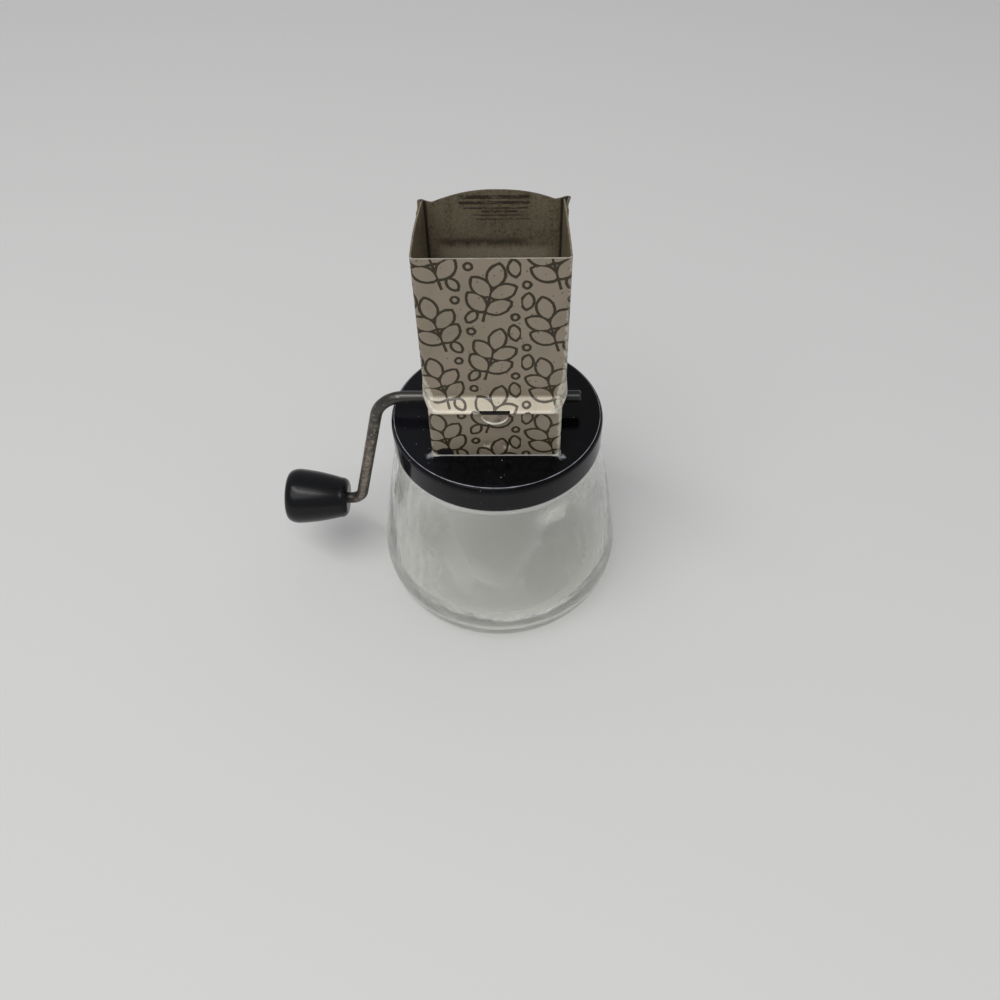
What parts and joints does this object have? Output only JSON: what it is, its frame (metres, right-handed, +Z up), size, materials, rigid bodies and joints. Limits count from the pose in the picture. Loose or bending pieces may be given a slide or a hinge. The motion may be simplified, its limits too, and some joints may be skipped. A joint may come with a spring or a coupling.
{
  "type": "nut chopper",
  "caption": "Hand cranked nut chopper: rectangular sheet-metal hopper on a black screw cap, side crank with a knob, cutting rotor, and a clear glass jar that catches the chopped nuts.",
  "frame": {"origin": "on the jar's axis, on the surface that the jar stands on", "axes": "+Z up along the jar's axis, +X along the crank shaft away from the handle, -Y the front of the hopper"},
  "size_m": [0.1208, 0.086, 0.1471],
  "materials": {
    "clear_glass": "clear pressed glass, faint green at the edges",
    "liner_board": "pulp board liner",
    "black_enamel": "glossy black enamel on sheet metal, a few chips and smears",
    "printed_tin": "beige print with dark outlined plants outside, bare tarnished tin inside",
    "bare_tin": "tinned sheet, dulled",
    "crank_steel": "dark steel rod with brown tarnish",
    "bare_steel": "plain steel",
    "black_plastic": "satin black plastic"
  },
  "bodies": {
    "jar": {"glass_jar": "clear_glass"},
    "liner": {"cap_liner": "liner_board"},
    "cap": {"screw_cap": "black_enamel", "hopper_front": "printed_tin", "hopper_back": "printed_tin", "front_comb": "bare_tin", "rear_comb": "bare_tin"},
    "crank": {"crank_rod": "crank_steel", "knob_push_nut": "bare_steel", "rotor_tine_1": "bare_steel", "rotor_tine_2": "bare_steel", "rotor_tine_3": "bare_steel", "rotor_tine_4": "bare_steel", "rotor_tine_5": "bare_steel", "rotor_tine_6": "bare_steel", "rotor_spacers": "bare_steel", "left_washer": "bare_steel", "right_washer": "bare_steel"},
    "knob": {"crank_knob": "black_plastic"}
  },
  "joints": [
    {"name": "cap_lift", "type": "slide", "parent": "jar", "child": "liner", "axis": [0, 0, 1], "range_m": [0, 0.00953]},
    {"name": "cap_turn", "type": "hinge", "parent": "liner", "child": "cap", "pos_m": [0, 0, 0.0766], "axis": [0, 0, 1], "range_deg": [0, 810]},
    {"name": "crank_turn", "type": "hinge", "parent": "cap", "child": "crank", "pos_m": [0, 0, 0.08276], "axis": [1, 0, 0], "continuous": true},
    {"name": "knob_spin", "type": "hinge", "parent": "crank", "child": "knob", "pos_m": [-0.0507, 0, 0.03246], "axis": [-0.9986, 0, 0.0523], "continuous": true}
  ],
  "couplings": [
    {"joint": "cap_lift", "follows": "cap_turn", "m_per_rad": 0.00067376}
  ]
}
